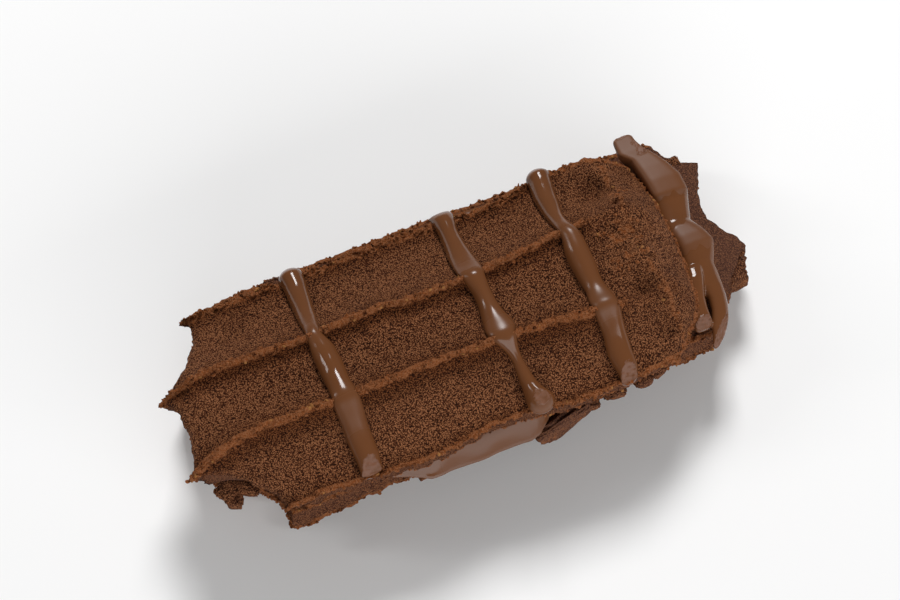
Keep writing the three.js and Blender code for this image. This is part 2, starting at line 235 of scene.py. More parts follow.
def dough_arrays(biscuit, along_steps, across_steps, wall_rows):
    """Points, faces and masks of a piped biscuit: its ridged top, its drawn-in wall, and its flat side,
    which has half the steps of the top."""
    middle = biscuit["length"] / 2
    half_width = float(ridge_places(biscuit, np.array(middle))[3])
    seed = biscuit["seed"] + 20
    masks = {"crest": [], "toast_and_shade": [], "flat": []}

    def place(along, side, level):
        u, v = plan_of(biscuit, along, side)
        inset = biscuit["wall_inset"] * (1 - level) ** WALL_CURVE
        end_inset = mix(biscuit["cut_inset"], biscuit["wall_inset"], along) * (1 - level) ** WALL_CURVE
        height = crumbled_height(biscuit, u, v, side)
        to_end = np.minimum(along, 1 - along) * biscuit["length"]
        to_side = (1 - np.abs(side)) * half_width
        at_end = np.exp(-to_end / RAGGED_REACH)
        at_side = np.exp(-to_side / RAGGED_REACH)
        ragged_u = 0.16 * swell(v, 4 * level, 2.4, seed) + 0.09 * swell(v, 5 * level, 0.9, seed + 1)
        ragged_v = 0.12 * swell(u, 4 * level, 3.0, seed + 2) + 0.09 * swell(u, 5 * level, 1.0, seed + 3)
        rim_dip = 0.12 * swell(u, v, 1.3, seed + 4) * np.maximum(at_end, at_side)
        return u, v, side, np.stack([
            middle + (u - middle) * (1 - end_inset / middle) + ragged_u * at_end * np.sign(along - 0.5),
            v * (1 - inset / half_width) + ragged_v * at_side * np.sign(side),
            level * height + np.where(level > 0, rim_dip, 0),
        ], -1)

    def keep_masks(u, v, side, along, flat):
        away, ridge = ridge_distance(biscuit, u, side)
        to_start = (1 - along) * biscuit["length"]
        to_side = (1 - np.abs(side)) * half_width
        rim = np.maximum(1 - ease(to_start, 0.2, 1.1), 1 - ease(to_side, 0.3, 1.2))
        in_coil = biscuit["coil_fill"] * ease(u, *COIL_COLOUR_REACH)
        inner_crest = biscuit["bead"] > 0
        on_ridge = np.where((ridge == 0) | (ridge == 3), 1, inner_crest * (1 - 1.3 * in_coil))
        crest = np.exp(-((away / BEAD_WIDTH) ** 4)) * (1 - flat) * np.clip(on_ridge, 0, 1)
        for line in biscuit["fans"]:
            on_fan = np.exp(-((away_from_line(u, v, line) / 0.7) ** 2))
            crest = np.maximum(crest, 0.6 * on_fan)
        for at_u, at_v, reach in biscuit["crumbly"]:
            patch = np.exp(-((u - at_u) ** 2 + (v - at_v) ** 2) / 2 / reach**2)
            crest = np.maximum(crest, patch * np.clip(0.65 + 0.6 * swell(u, v, 1.6, seed + 6), 0, 1))
        # Darker, redder dough beside each ridge, stronger and wider in front of it: partly deeper baking,
        # partly painted shade. The rims take some of this painted shade too.
        toast_and_shade_reach = np.where(away < 0, 1.9, 1.3)
        toast_and_shade = np.where(away < 0, 1, 0.8) * np.exp(-((away / toast_and_shade_reach) ** 2)) * (1 - flat)
        toast_and_shade = toast_and_shade * (1 - in_coil)
        masks["crest"].append(np.maximum(crest, rim).ravel())
        masks["toast_and_shade"].append(np.maximum(toast_and_shade, rim * 0.7).ravel())
        masks["flat"].append(np.full(u.size, float(flat)))

    def grid(along_count, across_count, level):
        along, side = np.linspace(0, 1, along_count + 1), np.linspace(-1, 1, across_count + 1)
        a, b = np.meshgrid(along, side, indexing="ij")
        return a, place(a, b, level)

    def ring(along_count, across_count):
        """Steps along and across of the points round the edge of a grid."""
        a_up, b_up = np.arange(along_count), np.arange(across_count)
        a = np.concatenate([a_up, np.full(across_count, along_count), along_count - a_up, 0 * b_up])
        b = np.concatenate([0 * a_up, b_up, np.full(along_count, across_count), across_count - b_up])
        return a, b

    def cells(index, flip):
        corners = [index[:-1, :-1], index[1:, :-1], index[1:, 1:], index[:-1, 1:]]
        return np.stack(corners[::-1] if flip else corners, -1).reshape(-1, 4)

    a, (u, v, side, top) = grid(along_steps, across_steps, 1.0)
    points = [top.reshape(-1, 3)]
    keep_masks(u, v, side, a, 0)
    top_index = np.arange(a.size).reshape(a.shape)
    faces = [cells(top_index, False)]

    ring_a, ring_b = ring(along_steps, across_steps)
    above = top_index[ring_a, ring_b]
    count = top_index.size
    for row in range(1, wall_rows):
        level = 1 - row / wall_rows
        u, v, side, wall = place(ring_a / along_steps, 2 * ring_b / across_steps - 1, level)
        points.append(wall)
        masks["crest"].append(np.full(len(ring_a), max(0.0, 0.9 - 3.5 * (1 - level))))
        # The wall is darkened a little by the same painted shade.
        masks["toast_and_shade"].append(np.full(len(ring_a), 0.25))
        # The wall takes part of the flat side's greyer tone, here partly a painted sheen.
        masks["flat"].append(np.full(len(ring_a), 0.5))
        below = count + np.arange(len(ring_a))
        count += len(ring_a)
        faces.append(np.stack([above, below, np.roll(below, -1), np.roll(above, -1)], -1))
        above = below

    a, (u, v, side, base) = grid(along_steps // 2, across_steps // 2, 0.0)
    points.append(base.reshape(-1, 3))
    keep_masks(u, v, side, a, 1)
    base_index = count + np.arange(a.size).reshape(a.shape)
    base_a, base_b = ring(along_steps // 2, across_steps // 2)
    below = base_index[base_a, base_b]
    next_below = np.roll(below, -1)
    first, second, third = above[0::2], above[1::2], np.roll(above, -2)[0::2]
    thirds = np.concatenate([
        np.stack([first, below, second], -1),
        np.stack([second, below, next_below], -1),
        np.stack([second, next_below, third], -1),
    ])
    faces.append(cells(base_index, True))
    masks = {name: np.concatenate(parts) for name, parts in masks.items()}
    return np.concatenate(points), faces, thirds, masks


def mesh_object(name, points, quads, triangles=(), masks=None):
    """A smooth mesh object from points in millimetres, with its masks as point attributes."""
    faces = [tuple(face) for block in quads for face in block.tolist()]
    faces += [tuple(face) for face in np.asarray(triangles, int).reshape(-1, 3).tolist()]
    mesh = bpy.data.meshes.new(name)
    mesh.from_pydata((points * MM).tolist(), [], faces)
    mesh.polygons.foreach_set("use_smooth", np.ones(len(mesh.polygons), bool))
    mesh.update()
    for mask, values in (masks or {}).items():
        point_mask(mesh, mask, values)
    made = bpy.data.objects.new(name, mesh)
    bpy.context.scene.collection.objects.link(made)
    return made


def point_mask(mesh, mask, values):
    attribute = mesh.attributes.new(mask, "FLOAT", "POINT")
    attribute.data.foreach_set("value", np.asarray(values, np.float32))


def add_node(tree, kind, **settings):
    node = tree.nodes.new(kind)
    for key, value in settings.items():
        setattr(node, key, value)
    return node


def named_group(name, kind, inputs, outputs):
    """An empty node group with its sockets, each given as name: (socket type, default)."""
    group = bpy.data.node_groups.new(name, kind)
    for socket, (socket_type, default) in inputs.items():
        made = group.interface.new_socket(socket, in_out="INPUT", socket_type=socket_type)
        if default is not None:
            made.default_value = default
    for socket, socket_type in outputs.items():
        group.interface.new_socket(socket, in_out="OUTPUT", socket_type=socket_type)
    return group, group.nodes.new("NodeGroupInput"), group.nodes.new("NodeGroupOutput")


def math_node(tree, operation, *values):
    node = add_node(tree, "ShaderNodeMath", operation=operation)
    for slot, value in enumerate(values):
        if isinstance(value, (int, float)):
            node.inputs[slot].default_value = value
        else:
            tree.links.new(value, node.inputs[slot])
    return node.outputs[0]


def ramp_node(tree, factor, low, high):
    """Smooth step from 0 at low to 1 at high."""
    node = add_node(tree, "ShaderNodeMapRange", interpolation_type="SMOOTHSTEP")
    tree.links.new(factor, node.inputs["Value"])
    node.inputs["From Min"].default_value = low
    node.inputs["From Max"].default_value = high
    return node.outputs["Result"]


def blend_node(tree, factor, first, second, blend_type="MIX"):
    node = add_node(tree, "ShaderNodeMix", data_type="RGBA", blend_type=blend_type)
    for socket, value in ((0, factor), (6, first), (7, second)):
        if isinstance(value, (int, float, tuple)):
            node.inputs[socket].default_value = value
        else:
            tree.links.new(value, node.inputs[socket])
    return node.outputs[2]


def build_crumb_relief():
    """Pushes a dough surface in and out: sandy grains, soft lumps, and crumbling along the crests."""
    group, start, end = named_group(
        "baked_crumb_relief",
        "GeometryNodeTree",
        {
            "Geometry": ("NodeSocketGeometry", None),
            "Grain Size": ("NodeSocketFloat", 0.00038),
            "Grain Height": ("NodeSocketFloat", 0.00006),
            "Lump Size": ("NodeSocketFloat", 0.0020),
            "Lump Height": ("NodeSocketFloat", 0.00016),
            "Crumble Size": ("NodeSocketFloat", 0.0008),
            "Crumble Height": ("NodeSocketFloat", 0.0005),
            "Seed": ("NodeSocketFloat", 1.0),
            "Material": ("NodeSocketMaterial", None),
        },
        {"Geometry": "NodeSocketGeometry"},
    )
    links = group.links
    position = add_node(group, "GeometryNodeInputPosition")
    normal = add_node(group, "GeometryNodeInputNormal")
    crest = add_node(group, "GeometryNodeInputNamedAttribute", data_type="FLOAT")
    crest.inputs["Name"].default_value = "crest"

    def noise(size, detail):
        texture = add_node(group, "ShaderNodeTexNoise", noise_dimensions="4D")
        links.new(position.outputs[0], texture.inputs["Vector"])
        links.new(start.outputs["Seed"], texture.inputs["W"])
        links.new(math_node(group, "DIVIDE", 1.0, size), texture.inputs["Scale"])
        texture.inputs["Detail"].default_value = detail
        return math_node(group, "SUBTRACT", texture.outputs["Fac"], 0.5)

    grain = add_node(group, "ShaderNodeTexVoronoi", voronoi_dimensions="3D", feature="F1")
    links.new(position.outputs[0], grain.inputs["Vector"])
    links.new(math_node(group, "DIVIDE", 1.0, start.outputs["Grain Size"]), grain.inputs["Scale"])
    grain_rise = math_node(group, "SUBTRACT", 0.5, grain.outputs["Distance"])
    grains = math_node(group, "MULTIPLY", grain_rise, start.outputs["Grain Height"])
    lump_rise = noise(start.outputs["Lump Size"], 3.0)
    lumps = math_node(group, "MULTIPLY", lump_rise, start.outputs["Lump Height"])
    crumble_rise = noise(start.outputs["Crumble Size"], 2.0)
    crumble = math_node(group, "MULTIPLY", crumble_rise, start.outputs["Crumble Height"])
    edge_crumble = math_node(group, "MULTIPLY", crumble, crest.outputs["Attribute"])
    height = math_node(group, "ADD", math_node(group, "ADD", grains, lumps), edge_crumble)
    push = add_node(group, "ShaderNodeVectorMath", operation="SCALE")
    links.new(normal.outputs[0], push.inputs[0])
    links.new(height, push.inputs["Scale"])
    move = add_node(group, "GeometryNodeSetPosition")
    links.new(start.outputs["Geometry"], move.inputs["Geometry"])
    links.new(push.outputs[0], move.inputs["Offset"])
    realize = add_node(group, "GeometryNodeRealizeInstances")
    links.new(move.outputs[0], realize.inputs[0])
    finish = add_node(group, "GeometryNodeSetMaterial")
    links.new(realize.outputs[0], finish.inputs["Geometry"])
    links.new(start.outputs["Material"], finish.inputs["Material"])
    links.new(finish.outputs[0], end.inputs["Geometry"])
    return group


def run_nodes(piece, tree, settings):
    """Runs a Geometry Nodes tree on a piece and keeps the result as its plain mesh."""
    modifier = piece.modifiers.new(tree.name, "NODES")
    modifier.node_group = tree
    inputs = [item for item in tree.interface.items_tree if item.in_out == "INPUT"]
    sockets = {item.name: item.identifier for item in inputs}
    for name, value in settings.items():
        modifier[sockets[name]] = value
    bake_modifiers(piece)


def bake_modifiers(piece):
    """Keeps a piece's shape after its modifiers as its plain mesh."""
    evaluated = piece.evaluated_get(bpy.context.evaluated_depsgraph_get())
    mesh = bpy.data.meshes.new_from_object(evaluated)
    piece.modifiers.clear()
    old = piece.data
    piece.data = mesh
    bpy.data.meshes.remove(old)
    mesh.name = piece.name


def build_crumb_colour():
    """Colour, roughness and fine relief of baked cocoa dough: light and dark grains, partly painted sheen
    and shade, redder crests.
    """
    group, start, end = named_group(
        "baked_crumb_colour",
        "ShaderNodeTree",
        {
            "Pit And Shade": ("NodeSocketColor", (0.019, 0.0055, 0.0018, 1)),
            "Dough": ("NodeSocketColor", (0.105, 0.0325, 0.0125, 1)),
            "Light Grain And Sheen": ("NodeSocketColor", (0.37, 0.153, 0.067, 1)),
            "Crest": ("NodeSocketColor", (0.300, 0.090, 0.026, 1)),
            "Golden": ("NodeSocketColor", (0.42, 0.185, 0.060, 1)),
            # Darker dough by the ridges, rims and walls: deeper baking and painted shade.
            "Toast And Shade": ("NodeSocketColor", (0.54, 0.42, 0.28, 1)),
            "Flat Side And Sheen": ("NodeSocketColor", (0.130, 0.060, 0.042, 1)),
            "Grain Size": ("NodeSocketFloat", 0.00017),
        },
        {"Color": "NodeSocketColor", "Roughness": "NodeSocketFloat", "Height": "NodeSocketFloat"},
    )
    links = group.links
    place = add_node(group, "ShaderNodeTexCoord")
    pace = math_node(group, "DIVIDE", 1.0, start.outputs["Grain Size"])

    def noise(scale, detail, roughness=0.5):
        texture = add_node(group, "ShaderNodeTexNoise", noise_dimensions="3D")
        links.new(place.outputs["Object"], texture.inputs["Vector"])
        if isinstance(scale, (int, float)):
            texture.inputs["Scale"].default_value = scale
        else:
            links.new(scale, texture.inputs["Scale"])
        texture.inputs["Detail"].default_value = detail
        texture.inputs["Roughness"].default_value = roughness
        return texture.outputs["Fac"]

    grains = add_node(group, "ShaderNodeTexVoronoi", feature="F1")
    links.new(place.outputs["Object"], grains.inputs["Vector"])
    links.new(pace, grains.inputs["Scale"])
    per_grain = add_node(group, "ShaderNodeSeparateColor")
    links.new(grains.outputs["Color"], per_grain.inputs["Color"])

    def times(value, factor):
        return math_node(group, "MULTIPLY", value, factor)

    def plus(first, second):
        return math_node(group, "ADD", first, second)

    fine = noise(times(pace, 1.8), 3.0, 0.7)
    patches = math_node(group, "SUBTRACT", noise(400.0, 3.0), 0.5)
    # The grains' rise also sets their colour: paler tops and darker gaps between grains are a painted
    # highlight and painted shade of the fine relief.
    hills = math_node(group, "SUBTRACT", 1.0, grains.outputs["Distance"])
    relief = plus(times(fine, 0.85), times(hills, 0.95))
    speckle = plus(times(per_grain.outputs[0], 0.22), relief)
    shade = plus(speckle, times(patches, 0.14))

    def toned(plain, dark_to, light_to):
        """Dark pits, partly painted shade, then the plain colour, then light grains, partly painted sheen,
        with the shade where each sets in.
        """
        above_pits_and_shade = ramp_node(group, shade, *dark_to)
        tone = blend_node(group, above_pits_and_shade, start.outputs["Pit And Shade"], start.outputs[plain])
        return blend_node(group, ramp_node(group, shade, *light_to), tone, start.outputs["Light Grain And Sheen"])

    def mask(name):
        return add_node(group, "ShaderNodeAttribute", attribute_name=name).outputs["Fac"]

    body = toned("Dough", (0.745, 0.955), (1.03, 1.17))
    crest_body = toned("Crest", (0.38, 0.72), (0.90, 1.15))
    frayed = times(math_node(group, "SUBTRACT", noise(1200.0, 3.0), 0.5), 1.8)
    ragged = plus(mask("crest"), frayed)
    # The flat side's own greyer tone; on the walls and torn lumps it is partly a painted sheen.
    colour = blend_node(group, times(mask("flat"), 0.6), body, start.outputs["Flat Side And Sheen"])
    # Multiplies in the darker dough by the ridges, rims and walls: deeper baking and painted shade.
    toasted_and_shaded = blend_node(group, mask("toast_and_shade"), colour, start.outputs["Toast And Shade"], "MULTIPLY")
    on_crest = times(ramp_node(group, ragged, 0.35, 0.95), 0.85)
    colour = blend_node(group, on_crest, toasted_and_shaded, crest_body)
    colour = blend_node(group, mask("golden"), colour, start.outputs["Golden"])
    links.new(colour, end.inputs["Color"])
    links.new(plus(0.75, times(fine, 0.25)), end.inputs["Roughness"])
    links.new(relief, end.inputs["Height"])
    return group


def baked_dough(name, colour_group, bump_depth):
    """Dry matt dough, its grains also standing out as fine relief."""
    material = bpy.data.materials.new(name)
    material.use_nodes = True
    tree = material.node_tree
    shader = tree.nodes["Principled BSDF"]
    crumb = add_node(tree, "ShaderNodeGroup", node_tree=colour_group)
    bump = add_node(tree, "ShaderNodeBump")
    bump.inputs["Distance"].default_value = bump_depth
    tree.links.new(crumb.outputs["Height"], bump.inputs["Height"])
    tree.links.new(crumb.outputs["Color"], shader.inputs["Base Color"])
    tree.links.new(crumb.outputs["Roughness"], shader.inputs["Roughness"])
    tree.links.new(bump.outputs["Normal"], shader.inputs["Normal"])
    shader.inputs["Specular IOR Level"].default_value = 0.08
    return material


crumb_relief = build_crumb_relief()
dough_finish = baked_dough("baked_cocoa_dough", build_crumb_colour(), 0.00022)

points, quads, thirds, masks = dough_arrays(LOWER_BISCUIT, *LOWER_STEPS)
points = np.array(LOWER_PLACE) + points * np.array([-1, 1, -1]) + COOKIE_SHIFT
lower_biscuit = mesh_object("lower_biscuit_baked", points, quads, thirds, masks)
run_nodes(lower_biscuit, crumb_relief, {"Seed": 3.0, "Material": dough_finish})
for vertex in lower_biscuit.data.vertices:
    vertex.co.z = max(vertex.co.z, 0)  # its two middle ridges lie flat on the table
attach(lower_biscuit, "root")
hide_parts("lower_biscuit")

# ---- Filling -------------------------------------------------------------------------------------
# Milk chocolate between the two flat sides. It was still soft when the biscuits were pressed
# together, so it stands out as a smooth drooping lip along the front and shows as a thin line round
# the rest.

GAP = 0.3
FILLING_THICKNESS = 1.9
FILLING = {"left": -27.6, "right": 27.6, "front": -14.2, "corner_reach": 7, "corner_pull": 0.28}
FILLING_BACK = [11.2, 11.6, 12.7, 13.0, 12.1, 11.2]
LIP = [  # along the front: place along, place of its edge, height of its edge, how late it turns down
    (-26.0, -14.3, 9.6, 1.0), (-22.5, -14.6, 9.5, 1.0), (-20.4, -15.0, 9.3, 1.0), (-16.4, -15.6, 9.0, 1.0),
    (-12.6, -16.4, 8.5, 1.0), (-11.2, -17.1, 8.1, 1.1), (-10.0, -17.6, 7.8, 1.4), (-8.6, -17.7, 7.8, 1.7),
    (-5.0, -17.7, 7.8, 1.8), (0.0, -17.7, 7.8, 1.8), (3.4, -17.7, 7.8, 1.8), (4.8, -17.4, 7.9, 1.7),
    (6.2, -16.3, 8.4, 1.4), (7.5, -14.9, 9.2, 1.0),
]
LIP_EDGE = 0.35


def build_chocolate_surface():
    """Colour, roughness and faint waves of set milk chocolate; broken faces are matt and lighter."""
    group, start, end = named_group(
        "set_chocolate_surface",
        "ShaderNodeTree",
        {
            "Chocolate": ("NodeSocketColor", (0.128, 0.045, 0.0145, 1)),
            "Bloom": ("NodeSocketColor", (0.134, 0.050, 0.019, 1)),
            "Broken": ("NodeSocketColor", (0.165, 0.070, 0.038, 1)),
        },
        {"Color": "NodeSocketColor", "Roughness": "NodeSocketFloat", "Height": "NodeSocketFloat"},
    )
    links = group.links
    place = add_node(group, "ShaderNodeTexCoord")

    def noise(scale, detail):
        texture = add_node(group, "ShaderNodeTexNoise")
        links.new(place.outputs["Object"], texture.inputs["Vector"])
        texture.inputs["Scale"].default_value = scale
        texture.inputs["Detail"].default_value = detail
        return texture.outputs["Fac"]

    broken = add_node(group, "ShaderNodeAttribute", attribute_name="broken").outputs["Fac"]
    dull = add_node(group, "ShaderNodeAttribute", attribute_name="dull").outputs["Fac"]
    cloudy = noise(260.0, 3.0)
    colour = blend_node(group, cloudy, start.outputs["Chocolate"], start.outputs["Bloom"])
    mottled = math_node(group, "MULTIPLY", broken, ramp_node(group, noise(1500.0, 3.0), 0.25, 0.6))
    colour = blend_node(group, mottled, colour, start.outputs["Broken"])
    links.new(colour, end.inputs["Color"])
    smooth = math_node(group, "ADD", 0.07, math_node(group, "MULTIPLY", cloudy, 0.08))
    matt = math_node(group, "MULTIPLY", math_node(group, "MAXIMUM", broken, dull), 0.38)
    links.new(math_node(group, "ADD", smooth, matt), end.inputs["Roughness"])
    waves = math_node(group, "MULTIPLY", noise(400.0, 1.0), 0.35)
    grit = math_node(group, "MULTIPLY", noise(2600.0, 2.0), broken)
    gritty = math_node(group, "MULTIPLY", grit, 0.8)
    links.new(math_node(group, "ADD", waves, gritty), end.inputs["Height"])
    return group


def chocolate_material(name, surface_group):
    """Set chocolate, glossy where it set against air."""
    material = bpy.data.materials.new(name)
    material.use_nodes = True
    tree = material.node_tree
    shader = tree.nodes["Principled BSDF"]
    surface = add_node(tree, "ShaderNodeGroup", node_tree=surface_group)
    bump = add_node(tree, "ShaderNodeBump")
    bump.inputs["Distance"].default_value = 0.00012
    tree.links.new(surface.outputs["Height"], bump.inputs["Height"])
    tree.links.new(surface.outputs["Color"], shader.inputs["Base Color"])
    tree.links.new(surface.outputs["Roughness"], shader.inputs["Roughness"])
    tree.links.new(bump.outputs["Normal"], shader.inputs["Normal"])
    shader.inputs["Specular IOR Level"].default_value = 0.27
    return material


chocolate_finish = chocolate_material("set_milk_chocolate", build_chocolate_surface())


def box_faces(along, across, up):
    """Vertex places and quads of a box whose faces are grids, each place given as three whole steps."""
    index, places, quads = {}, [], []

    def at(place):
        if place not in index:
            index[place] = len(places)
            places.append(place)
        return index[place]

    def side(count_s, count_t, to_place, flip):
        for s in range(count_s):
            for t in range(count_t):
                corners = [to_place(s, t), to_place(s + 1, t), to_place(s + 1, t + 1), to_place(s, t + 1)]
                face = [at(corner) for corner in corners]
                quads.append(face[::-1] if flip else face)

    for level, flip in ((0, True), (up, False)):
        side(along, across, lambda s, t: (s, t, level), flip)
    for row, flip in ((0, False), (across, True)):
        side(along, up, lambda s, t: (s, row, t), flip)
    for column, flip in ((0, True), (along, False)):
        side(across, up, lambda s, t: (column, s, t), flip)
    return np.array(places, float), np.array(quads)


def filling_points(steps, counts, lip_rows):
    """The filling's box bent to shape: its first rows across are drawn out and down into the lip."""
    x = mix(FILLING["left"], FILLING["right"], steps[:, 0] / counts[0])
    level = steps[:, 2] / counts[2]
    from_end = np.minimum(x - FILLING["left"], FILLING["right"] - x)
    cornered = 1 - FILLING["corner_pull"] * (1 - round_off(from_end, FILLING["corner_reach"]))
    outward = np.clip(1 - steps[:, 1] / lip_rows, 0, 1)
    inward = np.clip((steps[:, 1] - lip_rows) / (counts[1] - lip_rows), 0, 1)
    lip = np.array(LIP)
    edge, edge_height, late = (np.interp(x, lip[:, 0], lip[:, column]) for column in (1, 2, 3))
    bottom = LOWER_THICKNESS + GAP
    top = bottom + FILLING_THICKNESS
    low = mix(bottom, edge_height, ease(outward, 0.3, 1))
    high = mix(top, edge_height + LIP_EDGE, outward**late)
    rounded = 0.12 * np.sin(math.pi * level) * outward**3
    waves = 0.10 * swell(x, 6 * outward, 5.0, 61) * outward
    back = through(FILLING_BACK, steps[:, 0] / counts[0]) + 0.25 * np.sin(math.pi * level)
    lip_y = mix(FILLING["front"], edge + waves, outward) - rounded
    y = np.where(outward > 0, lip_y, mix(FILLING["front"], back, inward))
    return x, y * cornered, mix(low, high, level)


FILLING_STEPS = (260, 60, 14)
LIP_ROWS = 20
steps, filling_quads = box_faces(*FILLING_STEPS)
points = np.stack(filling_points(steps, FILLING_STEPS, LIP_ROWS), -1) + COOKIE_SHIFT
nothing = np.zeros(len(points))
dull = 0.55 * ease(points[:, 0] - COOKIE_SHIFT[0], -10.0, -7.5)
filling = mesh_object("filling_chocolate", points, [filling_quads], (), {"broken": nothing, "dull": dull})
filling.data.materials.append(chocolate_finish)
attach(filling, "root")
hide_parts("filling")

# ---- Upper biscuit -------------------------------------------------------------------------------
# The same piped finger the right way up: three flutes between four crumbly ridges, a star-cut end
# on the left with torn teeth, and on the right the lumpy start of the piping, where the first coil
# of dough spreads sideways.

UPPER_BISCUIT = {
    "length": 67.5,
    "crest_height": 9.5,
    "edge_height": 4.0,
    "wall_inset": 0.9,
    "cut_inset": 2.6,
    "bead": 0.42,
    "ridges": [
        [-14.1, -13.7, -14.1, -14.7, -13.7, -14.8, -14.6, -12.5],
        [-6.1, -5.0, -5.1, -5.1, -5.2, -5.9, -6.8, -6.8],
        [4.4, 4.3, 4.0, 4.1, 3.6, 4.3, 5.0, 4.5],
        [14.7, 14.4, 14.3, 14.3, 14.4, 13.9, 15.3, 13.3],
    ],
    "cut_end": {"set_back": [9.4, 0, 0, 6.5], "notch": [2.8, 2.1, 2.9], "roundness": 0.5},
    "start_end": {"set_back": [6, 0.7, 0, 1], "notch": [-1.7, -0.4, -0.4], "roundness": 1},
    "start_rounding": 6,
    "coil_fill": 0.75,
    "lumps": [  # place along and across, height, reach
        (60.6, 9.3, -2.6, 1.35), (60.2, -5.8, -2.2, 1.35), (61.4, -10.2, -2.1, 1.4),
        (65.2, 9.0, -0.8, 1.8), (65.6, -3.5, -0.5, 1.6), (58.0, 2.6, -0.4, 1.2),
        (61.6, 5.8, -1.0, 0.30), (62.5, -2.7, -1.1, 0.32), (61.9, -2.4, -0.8, 0.22),
        (59.0, 1.4, 0.3, 0.8), (60.6, -0.6, 0.3, 0.7), (62.4, 2.4, 0.3, 0.8), (60.8, 3.4, 0.3, 0.7),
    ],
    "fans": [((62.9, 14.0), (62.3, 5.0)), ((57.9, -1.6), (61.6, -2.2)), ((61.6, -2.2), (63.3, -12.2))],
    "crumbly": [(60.6, 1.6, 1.9), (62.6, 7.5, 0.9), (62.9, 12.4, 0.9), (63.2, -7.5, 0.8), (58.6, -2.2, 0.9)],
    "steps": [(2, 3.6, 0.8), (1, 3.9, 0.6)],
    "seed": 5,
}
UPPER_PLACE = (-38.3, -3.3, LOWER_THICKNESS + FILLING_THICKNESS + 2 * GAP)
UPPER_STEPS = (384, 168, 10)

points, quads, thirds, masks = dough_arrays(UPPER_BISCUIT, *UPPER_STEPS)
points = points + np.array(UPPER_PLACE) + COOKIE_SHIFT
upper_biscuit = mesh_object("upper_biscuit_baked", points, quads, thirds, masks)
run_nodes(upper_biscuit, crumb_relief, {"Seed": 7.0, "Material": dough_finish})
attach(upper_biscuit, "root")
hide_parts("upper_biscuit")

# ---- Crumbs and torn dough -----------------------------------------------------------------------
# Crumbs cling along the ridges, rims and torn ends of both biscuits, a few of them golden. Larger
# lumps of dough hang on where the lower biscuit was torn, at its front and both ends, and two chips
# of it stick to the lip of the filling.

CRUMB_SIZE, CRUMB_SPACING = 0.24, 0.55
TORN_LUMPS = [  # middle, half sizes, turn in degrees, how grey: the greyer tone is partly a painted sheen
    ((8.8, -16.3, 6.4), (4.2, 1.0, 2.3), 14, 0.9), ((5.6, -17.3, 6.4), (0.9, 0.6, 0.8), 20, 0.6),
    ((12.3, -15.9, 6.6), (1.3, 0.6, 0.9), -10, 0.5), ((15.9, -15.5, 6.4), (1.5, 0.7, 0.9), -5, 0.5),
    ((19.9, -15.4, 6.4), (1.3, 0.7, 0.9), 8, 0.5), ((22.0, -15.0, 6.5), (1.0, 0.6, 0.8), 15, 0.5),
    ((-33.4, -8.7, 6.3), (1.6, 1.3, 1.5), 30, 0.1), ((-33.1, -10.0, 5.3), (1.0, 0.9, 1.2), -20, 0.3),
    ((-31.2, -9.6, 6.8), (1.6, 0.8, 1.0), -35, 0.1), ((-18.4, 13.8, 8.0), (1.4, 0.8, 1.6), 0, 0.7),
    ((-10.8, -17.0, 7.7), (0.6, 0.35, 0.4), 10, 0.2), ((-8.9, -17.2, 7.7), (0.45, 0.3, 0.3), 40, 0.2),
    ((33.9, 9.6, 8.5), (1.1, 0.9, 0.9), 0, 0.1), ((35.4, 9.9, 8.3), (0.8, 0.8, 0.9), 0, 0.1),
    ((36.4, -6.2, 6.5), (1.6, 1.9, 2.4), 12, 0.3), ((37.7, -4.6, 8.1), (0.7, 0.6, 0.7), 0, 0.0),
]


